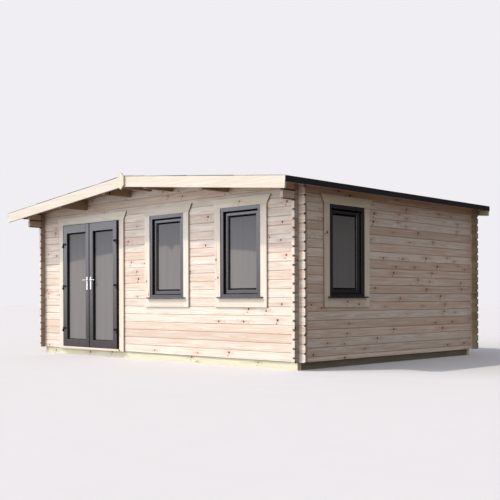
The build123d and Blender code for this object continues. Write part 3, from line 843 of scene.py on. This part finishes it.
# %% Plates with keyholes and screws
KEY_HEIGHT = 62 * MM        # from the foot of the plate
SCREW_INSET = 14 * MM       # from each end of the plate
for hand in ("left", "right"):
    leaf_low, leaf_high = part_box(hand + "_door")
    plate_low, plate_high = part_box(hand + "_door_backplates")
    plate_x = (plate_low.x + plate_high.x) / 2
    key_z = plate_low.z + KEY_HEIGHT
    for side, near, far, front in (("outer", plate_low.y, leaf_low.y, plate_low.y),
                                   ("inner", leaf_high.y, plate_high.y, plate_high.y)):
        plate = slab("plate", (plate_low.x, near, plate_low.z), (plate_high.x, far, plate_high.z))
        parts = [ease(plate, 2.5 * MM, 3), disc("cylinder", (plate_x, front, key_z), 9 * MM, 5 * MM)]
        for z in (plate_low.z + SCREW_INSET, plate_high.z - SCREW_INSET):
            parts.append(disc("screw", (plate_x, front, z), 4 * MM, 2 * MM, 12))
        plate = join(f"{hand}_door_{side}_plate", parts)
        fit(plate, silver, "handle_metal", hand + "_door_backplates", body=hand + "_leaf")
        # A black slot stands for the keyhole: painted shade for the dark of the opening.
        keyhole_shade = slab(f"{hand}_door_{side}_keyway", (plate_x - 1.2 * MM, front - 3 * MM, key_z - 6 * MM),
                      (plate_x + 1.2 * MM, front + 3 * MM, key_z + 3 * MM))
        fit(ease(keyhole_shade, 0.4 * MM, 1), rubber, "handle_metal", body=hand + "_leaf")
print("lock plates: 4")

# %% A lever
BAR = 8.5 * MM              # radius of the bar
BEND = 16 * MM
END_STEPS = 4               # of the rounded end
lever_low, lever_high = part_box("right_door_levers")
plate_low, plate_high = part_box("right_door_backplates")
spindle = Vector(((plate_low.x + plate_high.x) / 2, 0, (lever_low.z + lever_high.z) / 2))
root_y = plate_low.y + 2 * MM
bend_y = lever_low.y + BAR + BEND
lever = primitive("circle", "lever", vertices=20, radius=BAR, fill_type="NOTHING", rotation=(pi / 2, 0, 0),
                  location=(spindle.x, root_y, spindle.z))
edit_all()
extrude(0, bend_y - root_y, 0)
bpy.ops.mesh.spin(steps=8, angle=pi / 2, center=(spindle.x + BEND, bend_y, spindle.z), axis=(0, 0, 1))
extrude(lever_high.x - spindle.x - BEND - BAR, 0, 0)
for step in range(1, END_STEPS + 1):
    turn, last = (n * pi / 2 / END_STEPS for n in (step, step - 1))
    extrude(BAR * (sin(turn) - sin(last)), 0, 0)
    share = max(cos(turn), 0.02) / cos(last)
    bpy.ops.transform.resize(value=(1, share, share))
bpy.ops.mesh.edge_face_add()
bpy.ops.mesh.select_all(action="DESELECT")
bpy.ops.mesh.select_non_manifold()
bpy.ops.mesh.edge_face_add()
# The hook of the bend makes Blender guess the wrong side, so "inside" is what turns these faces outwards.
face_outwards(inside=True)
bpy.ops.object.shade_smooth_by_angle(angle=radians(40))
print("lever:", len(lever.data.polygons), "faces")

# %% Four levers from one
leaf_low, leaf_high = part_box("right_door")
across = (2 * door_x, leaf_low.y + leaf_high.y, 0)
left_outer = copy_of(lever, "left_door_outer_lever", (2 * door_x, 0, 0), mirrored=True)
levers = {"right": [copy_of(lever, "right_door_outer_lever"),
                    copy_of(left_outer, "right_door_inner_lever", across, pi)],
          "left": [left_outer, copy_of(lever, "left_door_inner_lever", across, pi)]}
for hand, pieces in levers.items():
    for piece in pieces:
        fit(piece, silver, "handle_metal", hand + "_door_levers", body=hand + "_lever")
remove(lever)
print("levers: 4")

# %% [markdown]
# ## Hinges and threshold
# The hinge plates are the CAD solids, in black. On the real door one round-headed bolt holds each half of a
# hinge, so a rounded disc is added for each. The threshold is a pale board with a nose that hangs over the
# base log, made of two eased boards.

# %% Hinge bolts
HINGES = 3
HINGE_HEIGHT = 38 * MM
LEAF_BOLT = 46 * MM         # in from the hinged edge of the leaf
FRAME_BOLT = 12 * MM        # out from that edge
for hand, side in (("left", -1), ("right", 1)):
    hinge_low, hinge_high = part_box(hand + "_door_hinges")
    leaf_low, leaf_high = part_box(hand + "_door")
    hinged = leaf_high.x if side == 1 else leaf_low.x
    spread = (hinge_high.z - hinge_low.z - HINGE_HEIGHT) / (HINGES - 1)
    for part, body, x, lift in (("leaf", hand + "_leaf", hinged - side * LEAF_BOLT, HINGE_HEIGHT / 2),
                                ("frame", "cabin", hinged + side * FRAME_BOLT, -HINGE_HEIGHT / 2)):
        bolts = [disc("bolt", (x, hinge_low.y, hinge_low.z + n * spread + lift), 16 * MM, 8 * MM)
                 for n in range(HINGES)]
        fit(join(f"{hand}_{part}_hinge_bolts", bolts), black_steel, "hinge_metal", body=body)
print("hinge bolts:", 4 * HINGES)

# %% Threshold
step_low, step_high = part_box("door_threshold")
nose = slab("threshold_nose", step_low, (step_high.x, front_y, step_high.z))
body = slab("threshold_board", (step_low.x, front_y, step_low.z), step_high)
for piece in (nose, body):
    fit(lay_grain(ease(piece, 3 * MM), "X"), trim_wood, "trim_wood", "door_threshold")
print("threshold:", tuple(round(v, 3) for v in step_low), tuple(round(v, 3) for v in step_high))

# %% [markdown]
# ## Roof boards and floor boards
# The roof is boarded from ridge to eaves with tongued boards whose lower edges are chamfered, so that each
# joint shows from below as a fine V. One board is modelled along the right slope, its outer end pushed down
# to the fall of the roof, and an array lays the others beside it. The floor is boarded likewise, with its
# joints on top.

# %% Boarding
def in_a_line(piece, count, step):
    """Repeats a piece along Y."""
    modify(piece, "ARRAY", count=count, use_relative_offset=False, use_constant_offset=True,
           constant_offset_displace=(0, step, 0))


def boarding(name, low, high, pitch, chamfer, joint_below, fall=0.0):
    """A field of boards that run along X and lie side by side along Y."""
    count = max(1, round((high.y - low.y) / pitch))
    cover = (high.y - low.y) / count
    field = slab(name, low, (high.x, low.y + cover, high.z))
    if fall:
        shift(field, lambda co: co.x > high.x - 1 * MM, (0, 0, -fall))
    level = (low.z + high.z - fall) / 2
    pick(field, lambda a, b: abs(a.x - b.x) > 0.5 and ((a.z + b.z) / 2 < level) == joint_below, edges=True)
    bpy.ops.mesh.bevel(offset=chamfer, segments=1)
    to_mode("OBJECT")
    in_a_line(field, count, cover)
    return field, cover


ridge_z = boards_high.z
roof_right, roof_cover = boarding("roof_boarding_right", Vector((0, boards_low.y, ridge_z - BOARD_RISE)),
                                  boards_high, 96 * MM, 4 * MM, True, boards_high.x * roof_slope)
roof_left = copy_of(roof_right, "roof_boarding_left", mirrored=True)
floor_low, floor_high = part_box("floor")
floor_boards, floor_cover = boarding("floor_boarding", floor_low, floor_high, 112 * MM, 2 * MM, False)
# The roof boards show from below, under the eaves, so they take the darker copy of the spruce, as painted
# shade.
soffit_wood = softwood("spruce_roof_boards", SHADED_ROOF_SPRUCE, joint=3 * MM,
                       rows=("X", "Y", roof_cover, boards_low.y, ridge_z, 200))
floor_wood = softwood("spruce_floor_boards", SPRUCE, ("X", "Y", floor_cover, floor_low.y, floor_low.z, 240))
fit(roof_right, soffit_wood, "board_wood", "roof_boards_right")
fit(roof_left, soffit_wood, "board_wood", "roof_boards_left")
fit(floor_boards, floor_wood, "board_wood", "floor")
print("roof boards cover", round(roof_cover, 4), "and floor boards", round(floor_cover, 4))

# %% [markdown]
# ## Barge boards and ridge plates
# A barge board closes each slope of the roof at the front and the back. It is a plain board that follows
# the slope, cut square at the eaves, so a block is made upright and its outer end pushed down and trimmed.
# Where two meet at the ridge, a pointed plate covers the joint. Both are nailed through to the purlins.

# %% Barge boards
BARGE_DEPTH = 148 * MM
BARGE_GAP = 1 * MM          # from the middle of the ridge to the end of a barge board
HALF_PURLIN = 29 * MM
barge_low, barge_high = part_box("front_barge_boards")
half_span = barge_high.x
top_z = barge_high.z
barge = slab("barge", (BARGE_GAP, barge_low.y, top_z - BARGE_DEPTH), barge_high)
shift(barge, lambda co: co.x > 1, (0, 0, -(half_span - BARGE_GAP) * roof_slope))
cut_back = BARGE_DEPTH * roof_slope / (1 + roof_slope ** 2)
outer_foot = top_z - half_span * roof_slope - BARGE_DEPTH / 2
shift(barge, lambda co: co.x > 1 and co.z < outer_foot, (-cut_back, 0, cut_back * roof_slope))
ease(barge, 2.5 * MM)
nail_x = [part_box(name)[1].x - HALF_PURLIN for name in ("inner_purlins", "outer_purlins")]
barge_nails = nails("barge_nails", [(x, barge_low.y, top_z - x * roof_slope - drop)
                                    for x in (60 * MM, *nail_x, half_span - 50 * MM)
                                    for drop in (35 * MM, 110 * MM)])
for end, turn in (("front", 0.0), ("back", pi)):
    for hand in ("right", "left"):
        mirrored = (hand == "left") == (end == "front")
        board = copy_of(barge, f"{end}_{hand}_barge_board", turn=turn, mirrored=mirrored)
        fit(lay_grain(board, "X"), barge_wood, "trim_wood", end + "_barge_boards")
        heads = copy_of(barge_nails, f"{end}_{hand}_barge_nails", turn=turn, mirrored=mirrored)
        fit(heads, zinc, "trim_wood")
remove(barge, barge_nails)
print("barge boards: 4, front at y", round(barge_low.y, 4))

# %% Ridge plates
PLATE_TIP = 60 * MM
plates_low, plates_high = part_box("ridge_plates")
middle_z = (plates_low.z + plates_high.z) / 2
plate = slab("plate", (plates_low.x, plates_low.y, plates_low.z + PLATE_TIP),
             (plates_high.x, barge_low.y, plates_high.z - PLATE_TIP))
for above, tip in ((True, PLATE_TIP), (False, -PLATE_TIP)):
    pick(plate, lambda co: (co.z > middle_z) == above)
    extrude(0, 0, tip)
    bpy.ops.transform.resize(value=(0, 1, 1))
    bpy.ops.mesh.remove_doubles(threshold=0.1 * MM)
    to_mode("OBJECT")
ease(plate, 3 * MM)
plate_nails = nails("plate_nails", [(x, plates_low.y, middle_z + z) for x in (-42 * MM, 42 * MM)
                                    for z in (-52 * MM, 52 * MM)])
for end, turn in (("front", 0.0), ("back", pi)):
    piece = lay_grain(copy_of(plate, end + "_ridge_plate", turn=turn), "Z")
    fit(piece, trim_wood, "trim_wood", "ridge_plates")
    fit(copy_of(plate_nails, end + "_ridge_plate_nails", turn=turn), zinc, "trim_wood")
remove(plate, plate_nails, nail)
print("ridge plates: 2")

# %% [markdown]
# ## Roofing felt
# Felt comes in metre-wide rolls. It is laid from the eaves up, each strip lapping over the one below, with
# the lowest folded down over the eaves board and a narrow strip folded over the ridge. It never lies quite
# flat, so each strip is a fine grid with a gentle swell, given its thickness at the end.

# %% Strips of felt
FELT = 3.2 * MM
OVER = FELT + 1.2 * MM      # height of a strip's edge where it lies on another strip
LAP = 90 * MM
STRIP = 960 * MM
RIDGE_STRIP = 250 * MM      # on each side of the ridge
RIDGE_CLEAR = 20 * MM       # between the ridge and the highest strip on a slope
LEAST_STRIP = 300 * MM      # where less than this is left, the ridge strip covers it
felt_low, felt_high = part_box("roof_felt_right")
swell = bpy.data.textures.new("felt_swell", "CLOUDS")
swell.noise_scale = 0.45


def felt_bed(x, lift=0.0):
    """Level on the right slope that lies this much above the boards."""
    return ridge_z - x * roof_slope + 1 * MM + lift


def felt_strip(name, near, far, raised, lowered, columns, lip=0.0, over_ridge=False):
    """A strip along the right slope, whose upper and lower edges lie raised and lowered above the boards."""
    upper, lower = felt_bed(near, raised), felt_bed(far, lowered)
    middle = ((near + far) / 2, (felt_low.y + felt_high.y) / 2, (upper + lower) / 2)
    slant = ((upper - lower) ** 2 + (far - near) ** 2) ** 0.5
    lean = atan((upper - lower) / (far - near))
    strip = primitive("grid", name, (slant, felt_high.y - felt_low.y, 1), x_subdivisions=columns,
                      y_subdivisions=90, size=1, location=middle, rotation=(0, lean, 0))
    modify(strip, "DISPLACE", texture=swell, texture_coords="GLOBAL", strength=2.6 * MM, mid_level=0.4)
    if lip:
        pick(strip, lambda co: co.x > far - 5 * MM)
        for step in range(3):
            extrude(0, 0, -lip / 3)
        to_mode("OBJECT")
    if over_ridge:
        modify(strip, "MIRROR", merge_threshold=2 * MM)
    modify(strip, "SOLIDIFY", thickness=FELT, offset=1)
    face_outwards()
    bpy.ops.object.shade_smooth_by_angle(angle=radians(40))
    return strip


lower = felt_high.x - FELT
laps = []
while lower > LEAST_STRIP:
    number = len(laps) + 1
    upper = max(lower - STRIP, RIDGE_CLEAR)
    strip = felt_strip(f"felt_strip_{number}_right", upper, lower, 0.0, OVER if laps else 0.0, 24,
                       lip=0.0 if laps else felt_bed(lower) - felt_low.z)
    left_strip = copy_of(strip, f"felt_strip_{number}_left", mirrored=True)
    fit(left_strip, felt, "roofing_felt", "roof_felt_left")
    fit(strip, felt, "roofing_felt", "roof_felt_right")
    laps.append(lower)
    lower = upper + LAP
ridge_strip = felt_strip("felt_ridge_strip", 0, RIDGE_STRIP, OVER, OVER, 8, over_ridge=True)
fit(ridge_strip, felt, "roofing_felt", "roof_felt_right", "roof_felt_left")
print("felt strips on each slope:", len(laps))

# %% [markdown]
# Clout nails with wide flat heads hold the laps. One is laid on the slope, and an array sets the others
# along the lap. There are hundreds, so each head is an eight-sided disc with its rim taken off.

# %% Clout nails
NAIL_STEP = 150 * MM
nail_rows = [(lap - 25 * MM, OVER) for lap in laps[1:]]
nail_rows += [(RIDGE_STRIP - 25 * MM, 2 * FELT), (laps[0] - 40 * MM, 0)]
count = int((felt_high.y - felt_low.y - 60 * MM) / NAIL_STEP)
lines = []
for x, lift in nail_rows:
    line = primitive("cylinder", "line", vertices=8, radius=6 * MM, depth=5 * MM,
                     rotation=(0, atan(roof_slope), 0),
                     location=(x, felt_low.y + 40 * MM, felt_bed(x, FELT + lift)))
    in_a_line(ease(line, 1 * MM, 1), count, NAIL_STEP)
    lines.append(line)
clouts = join("clout_nails_right", lines)
fit(copy_of(clouts, "clout_nails_left", mirrored=True), zinc, "roofing_felt")
fit(clouts, zinc, "roofing_felt")
print("clout nails:", 2 * count * len(nail_rows))

# %% [markdown]
# ## Finishes on the solids that stay
# The log walls, purlins, bearers, eaves boards and the door frame already have their real shape in CAD, so
# they are kept, and only get their finish. A purlin is one log, so each lies in a row of its own, in a darker
# copy of the spruce that is painted shade under the roof. The base bearers are pressure-treated, which leaves
# them a dull green. The side bearers and the floor joists take a much darker copy of that colour, which is
# painted shade for where they lie in the cabin's shadow.

# %% Finishing the solids
purlin_low, purlin_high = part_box("ridge_purlin")
purlin_wood = softwood("spruce_purlins", SHADED_ROOF_SPRUCE, ("Y", "X", 160 * MM, -80 * MM, purlin_low.z, 300))
end_base = softwood("treated_spruce_ends", TREATED, ("X", "Z", 200 * MM, -50 * MM, front_y, 400))
side_base = softwood("treated_spruce_sides", SHADED_TREATED, ("Y", "Z", 200 * MM, -50 * MM, side_x, 440))
eaves_row = ("Y", "Z", 400 * MM, felt_low.z - 200 * MM, felt_high.x, 480)
eaves_wood = softwood("spruce_eaves_boards", SPRUCE, eaves_row)
finishes = (
    (front_logs, "front_wall_left", "front_wall_right", "front_gable"),
    (back_logs, "back_wall"),
    (right_logs, "right_wall"),
    (left_logs, "left_wall"),
    (purlin_wood, "inner_purlins", "outer_purlins", "ridge_purlin"),
    (eaves_wood, "eaves_boards"),
    (end_base, "end_bearers"),
    (side_base, "side_bearers", "floor_joists"),
    (paint, "door_frame"),
    (black_steel, "frame_hinges", "left_door_hinges", "right_door_hinges"))
for material, *names in finishes:
    for name in names:
        coat(nodes[name], material)
print("solids kept and finished:", sum(len(names) for material, *names in finishes))
